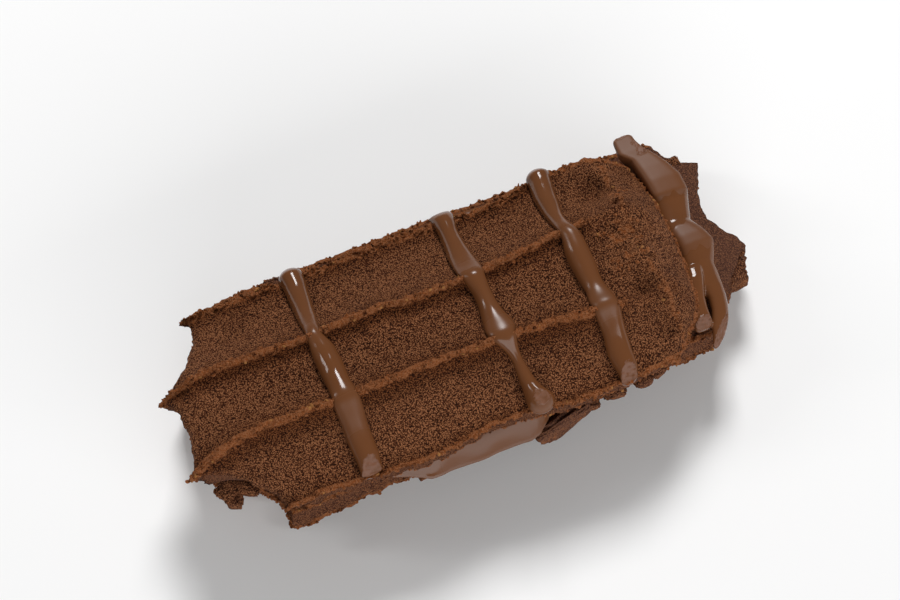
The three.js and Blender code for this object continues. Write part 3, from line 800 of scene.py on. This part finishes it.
def build_loose_crumbs():
    """Small angular crumbs over the crests of a dough surface, without the surface itself."""
    group, start, end = named_group(
        "loose_crumbs",
        "GeometryNodeTree",
        {
            "Geometry": ("NodeSocketGeometry", None),
            "Crumb Size": ("NodeSocketFloat", CRUMB_SIZE * MM),
            "Per Area": ("NodeSocketFloat", 1 / (CRUMB_SPACING * MM) ** 2),
            "Golden Share": ("NodeSocketFloat", 0.05),
            "Seed": ("NodeSocketInt", 1),
            "Material": ("NodeSocketMaterial", None),
        },
        {"Geometry": "NodeSocketGeometry"},
    )
    links = group.links

    def chance(data_type, low, high, shift):
        """A random value for each crumb; the node keeps separate sockets for vectors and numbers."""
        low_socket, high_socket, result = {"FLOAT": (2, 3, 1), "FLOAT_VECTOR": (0, 1, 0)}[data_type]
        node = add_node(group, "FunctionNodeRandomValue", data_type=data_type)
        node.inputs[low_socket].default_value = low
        node.inputs[high_socket].default_value = high
        links.new(math_node(group, "ADD", start.outputs["Seed"], shift), node.inputs["Seed"])
        return node.outputs[result]

    crest = add_node(group, "GeometryNodeInputNamedAttribute", data_type="FLOAT")
    crest.inputs["Name"].default_value = "crest"
    often = math_node(group, "POWER", crest.outputs["Attribute"], 2.0)
    scatter = add_node(group, "GeometryNodeDistributePointsOnFaces")
    links.new(start.outputs["Geometry"], scatter.inputs["Mesh"])
    links.new(math_node(group, "MULTIPLY", often, start.outputs["Per Area"]), scatter.inputs["Density"])
    links.new(start.outputs["Seed"], scatter.inputs["Seed"])

    crumb = add_node(group, "GeometryNodeMeshIcoSphere")
    crumb.inputs["Subdivisions"].default_value = 2
    links.new(start.outputs["Crumb Size"], crumb.inputs["Radius"])
    place = add_node(group, "GeometryNodeInstanceOnPoints")
    links.new(scatter.outputs["Points"], place.inputs["Points"])
    links.new(crumb.outputs["Mesh"], place.inputs["Instance"])
    links.new(chance("FLOAT_VECTOR", (0.0, 0.0, 0.0), (6.28, 6.28, 6.28), 11), place.inputs["Rotation"])
    links.new(chance("FLOAT_VECTOR", (0.45, 0.45, 0.45), (1.5, 1.3, 1.1), 12), place.inputs["Scale"])

    def stored(geometry, name, value, domain):
        node = add_node(group, "GeometryNodeStoreNamedAttribute", data_type="FLOAT", domain=domain)
        node.inputs["Name"].default_value = name
        links.new(geometry, node.inputs["Geometry"])
        links.new(value, node.inputs["Value"])
        return node.outputs["Geometry"]

    golden = math_node(group, "LESS_THAN", chance("FLOAT", 0.0, 1.0, 13), start.outputs["Golden Share"])
    marked = stored(place.outputs["Instances"], "golden", golden, "INSTANCE")
    marked = stored(marked, "crest", chance("FLOAT", 0.55, 1.3, 14), "INSTANCE")
    realize = add_node(group, "GeometryNodeRealizeInstances")
    links.new(marked, realize.inputs[0])
    finish = add_node(group, "GeometryNodeSetMaterial")
    links.new(realize.outputs[0], finish.inputs["Geometry"])
    links.new(start.outputs["Material"], finish.inputs["Material"])
    links.new(finish.outputs[0], end.inputs["Geometry"])
    return group


loose_crumbs = build_loose_crumbs()
for name, biscuit, seed in (("lower_crumbs", lower_biscuit, 5), ("upper_crumbs", upper_biscuit, 9)):
    crumbs = bpy.data.objects.new(name, biscuit.data.copy())
    bpy.context.scene.collection.objects.link(crumbs)
    run_nodes(crumbs, loose_crumbs, {"Seed": seed, "Material": dough_finish})
    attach(crumbs, "root")


def torn_lump(name, middle, half_sizes, turn, grey, seed):
    """A rough angular lump of dough, its points pushed in and out along their own direction."""
    ball = bmesh.new()
    bmesh.ops.create_icosphere(ball, subdivisions=5 if max(half_sizes) > 1.4 else 4, radius=1)
    points = np.array([vertex.co[:] for vertex in ball.verts])
    faces = np.array([[vertex.index for vertex in face.verts] for face in ball.faces])
    ball.free()
    x, y, z = points.T
    blocky = np.sign(points) * np.abs(points) ** 0.65
    bumps = 1 + 0.13 * swell(x + 0.7 * z, y - 0.6 * z, 1.6, seed)
    bumps = bumps + 0.06 * swell(x - z, y + z, 0.6, seed + 1)
    shaped = blocky * bumps[:, None] * np.array(half_sizes)
    c, s = math.cos(math.radians(turn)), math.sin(math.radians(turn))
    turned = np.stack([
        shaped[:, 0] * c - shaped[:, 1] * s,
        shaped[:, 0] * s + shaped[:, 1] * c,
        shaped[:, 2],
    ], -1)
    edges = 1 - ease(np.abs(z), 0.0, 0.5)
    masks = {"crest": 0.5 * edges, "toast_and_shade": 0 * z, "flat": grey + 0 * z}
    lump = mesh_object(name, turned + np.array(middle) + COOKIE_SHIFT, [], faces, masks)
    run_nodes(lump, crumb_relief, {"Seed": float(seed), "Material": dough_finish})
    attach(lump, "root")


for count, (middle, half_sizes, turn, grey) in enumerate(TORN_LUMPS, 1):
    torn_lump(f"torn_dough_{count}", middle, half_sizes, turn, grey, 200 + count)

# ---- Lines across the top ------------------------------------------------------------------------
# Three lines of thick chocolate run across the biscuit from a spoon. Each fills the flutes, thins
# over the ridges, and ends in a round drop or where it was snapped off, which leaves a matt face.

LINE_ROOT, LINE_LIFT, OVERHANG_DROP = 1.4, 0.25, 0.8
BRIDGING, CREST_COVER, LEVEL_BLEND = 1.3, 0.1, 0.25
DULL_REACH = 2.0
CROSSING_LINES = {  # from back to front: place back, place along, half width, thickness
    "line_1": {
        "stations": [
            (12.4, -16.7, 1.4, 1.9), (11.0, -16.8, 1.55, 2.1), (10.0, -16.8, 1.5, 2.0),
            (8.6, -16.9, 1.45, 1.9), (7.3, -17.0, 1.4, 1.9), (5.5, -17.2, 1.3, 1.8),
            (3.7, -17.4, 1.2, 1.6), (2.0, -17.6, 1.0, 1.3), (0.5, -17.8, 0.9, 1.0),
            (-0.4, -17.6, 1.15, 1.1), (-1.2, -17.4, 1.5, 1.5), (-3.8, -17.3, 1.65, 1.9),
            (-6.7, -17.3, 1.5, 1.6), (-8.4, -17.3, 1.6, 1.1), (-9.4, -17.3, 1.7, 1.4),
            (-11.3, -17.3, 1.6, 1.8), (-13.4, -17.3, 1.6, 1.8), (-15.2, -17.2, 1.5, 1.7),
            (-17.3, -17.5, 1.3, 1.4),
        ],
        "round_start": 1.5, "round_end": 0.3,
        "snap": (-15.3, 0.9),  # where its end was snapped off, and the slope of that face
        "dull": [1.5, -9.5, -11.5],  # middles of its dull stretches
    },
    "line_2": {
        "stations": [
            (11.9, 3.5, 1.45, 1.0), (11.0, 3.6, 1.4, 1.5), (10.1, 3.6, 1.35, 1.8),
            (8.3, 3.4, 1.25, 1.8), (6.5, 3.3, 1.35, 1.8), (4.7, 3.2, 1.5, 1.6), (3.0, 3.1, 1.55, 1.3),
            (1.1, 3.1, 1.6, 1.0), (-0.2, 3.2, 1.35, 1.2), (-2.1, 3.4, 1.15, 1.6),
            (-3.4, 3.4, 1.2, 1.7), (-4.7, 3.4, 1.4, 1.7), (-6.0, 3.45, 1.65, 1.6),
            (-6.9, 3.5, 1.85, 1.4), (-7.8, 3.5, 1.9, 1.1), (-8.7, 3.5, 1.6, 0.9),
            (-9.9, 3.8, 0.9, 1.0), (-11.3, 4.1, 0.62, 1.1), (-12.8, 4.3, 0.85, 1.2),
            (-14.0, 4.45, 1.0, 1.4), (-15.2, 4.7, 1.35, 2.0), (-16.2, 5.0, 1.75, 2.4),
            (-17.9, 5.1, 1.85, 2.4),
        ],
        "round_start": 0.3, "round_end": 1.5,
        "snap": (-15.6, 0.45),
        "dull": [1.8, -7.0],
    },
    "line_3": {
        "stations": [
            (12.9, 16.9, 1.4, 1.8), (11.6, 16.85, 1.6, 2.1), (10.8, 16.8, 1.5, 2.0),
            (9.6, 16.6, 1.5, 2.0), (8.4, 16.4, 1.5, 1.9), (7.0, 16.3, 1.4, 1.8), (5.4, 16.1, 1.2, 1.5),
            (4.0, 16.0, 1.0, 1.3), (2.6, 16.0, 0.95, 1.1), (1.4, 16.2, 1.0, 1.0),
            (0.4, 16.4, 1.25, 1.3), (-0.8, 16.3, 1.5, 1.7), (-1.9, 16.3, 1.6, 1.9),
            (-4.6, 16.3, 1.5, 1.8), (-6.0, 16.3, 1.3, 1.5), (-7.1, 16.4, 1.3, 1.2),
            (-8.6, 16.4, 1.6, 1.1), (-10.6, 16.5, 1.65, 1.3), (-12.4, 16.5, 1.5, 1.7),
            (-14.4, 16.3, 1.6, 1.7), (-16.8, 16.5, 1.35, 1.5), (-18.4, 16.1, 1.0, 1.2),
        ],
        "round_start": 1.6, "round_end": 0.4,
        "snap": (-16.2, 0.9),
        "dull": [0.8, -8.0, -10.5],
    },
}


def biscuit_surface(x, y):
    """Height of the upper biscuit's piped form, carried on past its edges on a falling slope."""
    u = x - UPPER_PLACE[0]
    v = y - UPPER_PLACE[1]
    ridges = ridge_places(UPPER_BISCUIT, u)
    inside = np.clip(v, ridges[0], ridges[3])
    height = height_of(UPPER_BISCUIT, u, inside, side_at(UPPER_BISCUIT, u, inside))
    return UPPER_PLACE[2] + height - OVERHANG_DROP * np.abs(v - inside)


def poured_level(x, y):
    """Where poured chocolate lies: the biscuit's form with its creases bridged, never below a crest."""
    offsets = np.linspace(-2, 2, 17)
    weights = np.exp(-(offsets**2) / 2)
    heights = (w * biscuit_surface(x, y + BRIDGING * d) for w, d in zip(weights, offsets))
    bridged = sum(heights) / weights.sum()
    above = (biscuit_surface(x, y) + CREST_COVER - bridged) / LEVEL_BLEND
    return bridged + LEVEL_BLEND * np.logaddexp(0, above)


def tube_faces(rings, sides):
    """Quads and end triangles of a closed tube; the two last points are the middles of its ends."""
    index = np.arange(rings * sides).reshape(rings, sides)
    turned = np.roll(index, -1, 1)
    quads = np.stack([index[:-1], turned[:-1], turned[1:], index[1:]], -1).reshape(-1, 4)
    first = np.stack([np.full(sides, rings * sides), turned[0], index[0]], -1)
    last = np.stack([np.full(sides, rings * sides + 1), index[-1], turned[-1]], -1)
    return quads, np.concatenate([first, last])


def with_end_middles(tube):
    """A tube's points in a row, with the middle of each end last."""
    return np.concatenate([tube.reshape(-1, 3), tube[0].mean(0)[None], tube[-1].mean(0)[None]])


def poured_line(name, line, rings=240, sides=48):
    """One line of chocolate: a closed tube along the poured level, cut flat where it was snapped off."""
    stations = np.array(line["stations"])
    back, front = stations[0, 0], stations[-1, 0]
    run = back - front
    even = np.linspace(0, 1, rings)
    share = mix(even, 0.5 - 0.5 * np.cos(math.pi * even), 0.6)
    y = back - run * share

    def soften(values, window=15):
        padded = np.pad(values, window // 2, "edge")
        return np.convolve(padded, np.hanning(window) / np.hanning(window).sum(), "valid")

    x, half_width, thickness = (soften(np.interp(-y, -stations[:, 0], stations[:, k])) for k in (1, 2, 3))
    at_start = round_off(share * run, line["round_start"])
    at_end = round_off((1 - share) * run, line["round_end"])
    fullness = np.maximum(np.minimum(at_start, at_end), 0.05)
    level = soften(poured_level(x, y), 21)
    angle = np.linspace(0, 2 * math.pi, sides, endpoint=False)[None, :]
    tube_y = y[:, None] + 0 * angle
    ripple = 1 + 0.015 * swell(tube_y, 3 * np.cos(angle), 5.0, 71)
    tube_x = x[:, None] + np.cos(angle) * (half_width * fullness)[:, None] * ripple
    up = np.sin(angle)
    rise = np.where(up > 0, (thickness - LINE_LIFT)[:, None], LINE_ROOT + LINE_LIFT)
    tube_z = level[:, None] + LINE_LIFT + up * rise * fullness[:, None] * ripple
    snap_y, slope = line["snap"]
    snap_level = np.interp(-snap_y, -y, level + thickness)
    rough = 0.09 * swell(tube_x, tube_y, 1.1, 72) + 0.05 * swell(tube_x, tube_y, 0.5, 73)
    face = snap_level - slope * (snap_y - tube_y) + rough
    past = (tube_y < snap_y) & (tube_z > face) & (up > -0.2)
    tube_z = np.where(past, face, tube_z)
    tube = np.stack([tube_x, tube_y, tube_z], -1)
    broken = past.astype(float)
    dull_at = sum(np.exp(-(((y - at) / DULL_REACH) ** 2)) for at in line["dull"])
    dull = 0.5 * dull_at[:, None] + 0 * tube_z
    points = with_end_middles(tube) + COOKIE_SHIFT
    quads, caps = tube_faces(rings, sides)
    masks = {"broken": np.append(broken.ravel(), [0, 1]), "dull": np.append(dull.ravel(), [0, 0])}
    made = mesh_object(name, points, [quads], caps, masks)
    made.data.materials.append(chocolate_finish)
    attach(made, "root")


for name, line in CROSSING_LINES.items():
    poured_line(name, line)

# ---- Line over the end ---------------------------------------------------------------------------
# The fourth line is a wide ribbon that ran over the right end of the upper biscuit and hangs to the
# lower one. It splits in two at the front, and was broken off at its back end and at both tips.

RIBBON = [  # from back to front: place back, left, right, crown, fall to the right, underside, roundness
    (13.6, 28.0, 30.5, 14.5, 0.05, 13.3, 0.40), (12.2, 27.9, 30.7, 14.6, 0.05, 13.3, 0.40),
    (11.0, 27.8, 31.2, 14.7, 0.05, 12.8, 0.40), (9.5, 28.9, 32.2, 15.0, 0.06, 11.0, 0.40),
    (7.9, 29.0, 33.2, 15.1, 0.08, 9.8, 0.40), (5.9, 29.2, 34.1, 15.1, 0.12, 9.4, 0.42),
    (3.8, 29.3, 34.2, 14.9, 0.15, 9.3, 0.45), (3.0, 29.1, 34.0, 14.45, 0.15, 9.3, 0.80),
    (1.6, 28.8, 33.5, 14.4, 0.14, 9.3, 0.85), (0.0, 28.6, 33.0, 14.4, 0.12, 9.3, 0.85),
    (-1.0, 29.0, 33.2, 14.7, 0.10, 9.3, 0.65), (-2.4, 29.3, 33.8, 14.9, 0.10, 9.3, 0.55),
    (-3.8, 29.4, 34.3, 14.8, 0.12, 9.3, 0.55), (-4.9, 29.3, 34.0, 14.4, 0.20, 9.3, 0.70),
    (-6.2, 29.0, 33.4, 13.9, 0.28, 9.3, 0.85), (-7.5, 28.9, 33.4, 13.6, 0.30, 9.3, 0.85),
    (-9.3, 30.3, 33.2, 13.2, 0.30, 9.3, 0.85), (-10.6, 30.5, 33.0, 12.8, 0.30, 9.3, 0.85),
    (-12.0, 30.3, 32.7, 12.4, 0.30, 9.3, 0.85), (-13.3, 29.8, 32.2, 11.9, 0.25, 9.3, 0.85),
    (-15.0, 29.2, 31.0, 11.3, 0.20, 9.3, 0.85), (-16.4, 28.6, 29.4, 11.0, 0.10, 9.4, 0.85),
]
LEFT_TIP = [
    (-6.0, 29.0, 31.6, 14.2, 0.10, 11.2, 0.80), (-8.0, 28.4, 31.0, 14.6, 0.05, 10.8, 0.80),
    (-9.5, 28.0, 30.4, 14.5, 0.05, 10.6, 0.70), (-10.5, 27.8, 30.0, 14.3, 0.05, 10.6, 0.70),
    (-12.0, 27.4, 29.7, 14.0, 0.05, 10.6, 0.70), (-14.2, 27.2, 29.6, 13.5, 0.05, 10.6, 0.70),
]
RIBBON_PLATES = [(3.4, 15.0), (-4.6, -0.9)]  # stretches where its top set flat and dull
PLATE_BLEND = 0.3
RIBBON_RINGS, RIBBON_SIDES = 120, 36
VOXEL = 0.15
RIBBON_FACES = [  # broken faces: a point on it, the way it faces, and how far it reaches
    ((29.3, 13.1, 14.5), (-0.1, 0.7, 0.7), 1.8),
    ((30.6, 11.0, 14.55), (0.3, 0.1, 0.95), 0.75),
    ((28.5, -13.4, 13.2), (0.1, -0.8, 0.6), 1.4),
    ((30.9, -13.8, 11.7), (0.55, -0.70, 0.45), 2.2),
]


def ribbon_tube(stations, rings, sides):
    """Points of a closed tube with the ribbon's changing section."""
    stations = np.array(stations)
    share = np.linspace(0, 1, rings)
    y = mix(stations[0, 0], stations[-1, 0], share)
    columns = (np.interp(-y, -stations[:, 0], stations[:, k])[:, None] for k in range(1, 7))
    left, right, crown, fall, under, roundness = columns
    angle = np.linspace(0, 2 * math.pi, sides, endpoint=False)[None, :]
    c, s = np.cos(angle), np.sin(angle)
    across = np.sign(c) * np.abs(c) ** roundness
    to_end = np.minimum(share, 1 - share) * (stations[0, 0] - stations[-1, 0])
    end = np.maximum(round_off(to_end, 0.6), 0.1)[:, None]
    half = (right - left) / 2
    x = (left + right) / 2 + across * half * end
    middle = mix(under, crown, 0.62)
    deep = np.where(s > 0, crown - middle, middle - under) * end
    z = middle + np.sign(s) * np.abs(s) ** roundness * deep - fall * across * half
    return with_end_middles(np.stack([x, y[:, None] + 0 * c, z], -1))


quads, caps = tube_faces(RIBBON_RINGS, RIBBON_SIDES)
main = ribbon_tube(RIBBON, RIBBON_RINGS, RIBBON_SIDES)
tip = ribbon_tube(LEFT_TIP, RIBBON_RINGS, RIBBON_SIDES)
points = np.concatenate([main, tip]) + COOKIE_SHIFT
both_caps = np.concatenate([caps, caps + len(main)])
ribbon = mesh_object("line_4", points, [quads, quads + len(main)], both_caps)
remesh = ribbon.modifiers.new("melt_together", "REMESH")
remesh.mode = "VOXEL"
remesh.voxel_size = VOXEL * MM
remesh.use_smooth_shade = True
smoothing = ribbon.modifiers.new("soften", "SMOOTH")
smoothing.factor = 0.6
smoothing.iterations = 4
bake_modifiers(ribbon)

places = np.empty(len(ribbon.data.vertices) * 3)
ribbon.data.vertices.foreach_get("co", places)
places = places.reshape(-1, 3) / MM
broken = np.zeros(len(places))
for point, facing, reach in RIBBON_FACES:
    facing = np.array(facing) / np.linalg.norm(facing)
    from_point = places - (np.array(point) + COOKIE_SHIFT)
    rough = 0.08 * swell(places[:, 0] * 1.3, places[:, 1] + places[:, 2], 0.9, 91)
    beyond = from_point @ facing - rough
    near = np.linalg.norm(from_point, axis=1) < reach * 1.6
    cut = (beyond > 0) & near
    places = places - np.where(cut, beyond, 0)[:, None] * facing
    broken = np.maximum(broken, cut)
ribbon.data.vertices.foreach_set("co", (places * MM).ravel())
point_mask(ribbon.data, "broken", broken)
from_back = places[:, 1] - COOKIE_SHIFT[1] + 0.3 * swell(places[:, 0], 0, 1.5, 92)
dull = np.zeros(len(places))
for low, high in RIBBON_PLATES:
    past_low = ease(from_back, low - PLATE_BLEND, low + PLATE_BLEND)
    past_high = ease(from_back, high - PLATE_BLEND, high + PLATE_BLEND)
    dull = dull + past_low * (1 - past_high)
point_mask(ribbon.data, "dull", dull)
ribbon.data.update()
ribbon.data.materials.append(chocolate_finish)
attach(ribbon, "root")

# ---- Floor, light and camera ---------------------------------------------------------------------
# A pale table that darkens away from the biscuit, a painted pool of light. A soft lamp stands behind,
# a narrow one to the left, and a white board in front lights the near side. The camera looks steeply
# down through a long lens.

FLOOR_SIZE = 3.0
LAMP_DISTANCE = 0.8
CAMERA_AZIMUTH, CAMERA_ELEVATION = math.radians(-23), math.radians(66)
CAMERA_DISTANCE, LENS, SENSOR = 0.422, 135.0, 36.0
IMAGE_WIDTH, IMAGE_HEIGHT = 900, 600
AIM = Vector((*COOKIE_SHIFT[:2], 10.0)) * MM
AIM_PIXEL = (450, 322)


def table_material(name, near, far, fade_from, fade_to):
    """A matt surface of one grey near the middle and another far from it: a painted pool of light."""
    material = bpy.data.materials.new(name)
    material.use_nodes = True
    tree = material.node_tree
    shader = tree.nodes["Principled BSDF"]
    place = add_node(tree, "ShaderNodeTexCoord")
    distance = add_node(tree, "ShaderNodeVectorMath", operation="LENGTH")
    tree.links.new(place.outputs["Object"], distance.inputs[0])
    faded = ramp_node(tree, distance.outputs["Value"], fade_from, fade_to)
    shade = blend_node(tree, faded, (near, near, near, 1), (far, far, far, 1))
    tree.links.new(shade, shader.inputs["Base Color"])
    shader.inputs["Roughness"].default_value = 0.9
    return material


bpy.ops.mesh.primitive_plane_add(size=FLOOR_SIZE)
floor = bpy.context.object
floor.name = "floor"
floor.data.materials.append(table_material("pale_table_with_painted_light_pool", 0.9, 0.12, 0.12, 0.40))


def soft_lamp(name, direction, size, radiance):
    """A rectangular lamp facing the biscuit, its brightness given per square metre of its face."""
    lamp = bpy.data.lights.new(name, "AREA")
    lamp.shape = "RECTANGLE"
    lamp.size, lamp.size_y = size
    lamp.energy = radiance * size[0] * size[1] * math.pi
    made = bpy.data.objects.new(name, lamp)
    bpy.context.scene.collection.objects.link(made)
    away = Vector(direction).normalized()
    made.location = AIM + away * LAMP_DISTANCE
    made.rotation_euler = away.to_track_quat("Z", "Y").to_euler()


soft_lamp("key_lamp", (0.25, 0.58, 0.77), (0.235, 0.235), 29.3)
soft_lamp("left_strip", (-0.72, 0.35, 0.6), (0.10, 0.30), 9.0)
soft_lamp("front_board", (0.1, -0.95, 0.32), (1.3, 0.45), 3.6)

world = bpy.data.worlds.new("studio")
bpy.context.scene.world = world
world.use_nodes = True
world.node_tree.nodes["Background"].inputs["Color"].default_value = (1, 1, 1, 1)
world.node_tree.nodes["Background"].inputs["Strength"].default_value = 0.17

bpy.context.scene.view_settings.view_transform = "Standard"

camera_data = bpy.data.cameras.new("camera")
camera_data.lens = LENS
camera_data.sensor_width = SENSOR
camera_data.clip_start = 0.01
camera = bpy.data.objects.new("camera", camera_data)
bpy.context.scene.collection.objects.link(camera)
backwards = Vector((
    math.sin(CAMERA_AZIMUTH) * math.cos(CAMERA_ELEVATION),
    -math.cos(CAMERA_AZIMUTH) * math.cos(CAMERA_ELEVATION),
    math.sin(CAMERA_ELEVATION),
))
right = Vector((math.cos(CAMERA_AZIMUTH), math.sin(CAMERA_AZIMUTH), 0))
up = backwards.cross(right)
pixel = CAMERA_DISTANCE * SENSOR / LENS / IMAGE_WIDTH
sideways = (AIM_PIXEL[0] - IMAGE_WIDTH / 2) * pixel
upwards = (IMAGE_HEIGHT / 2 - AIM_PIXEL[1]) * pixel
camera_place = AIM + backwards * CAMERA_DISTANCE - right * sideways - up * upwards
camera.matrix_world = Matrix((
    (right.x, up.x, backwards.x, camera_place.x),
    (right.y, up.y, backwards.y, camera_place.y),
    (right.z, up.z, backwards.z, camera_place.z),
    (0, 0, 0, 1),
))
bpy.context.scene.camera = camera
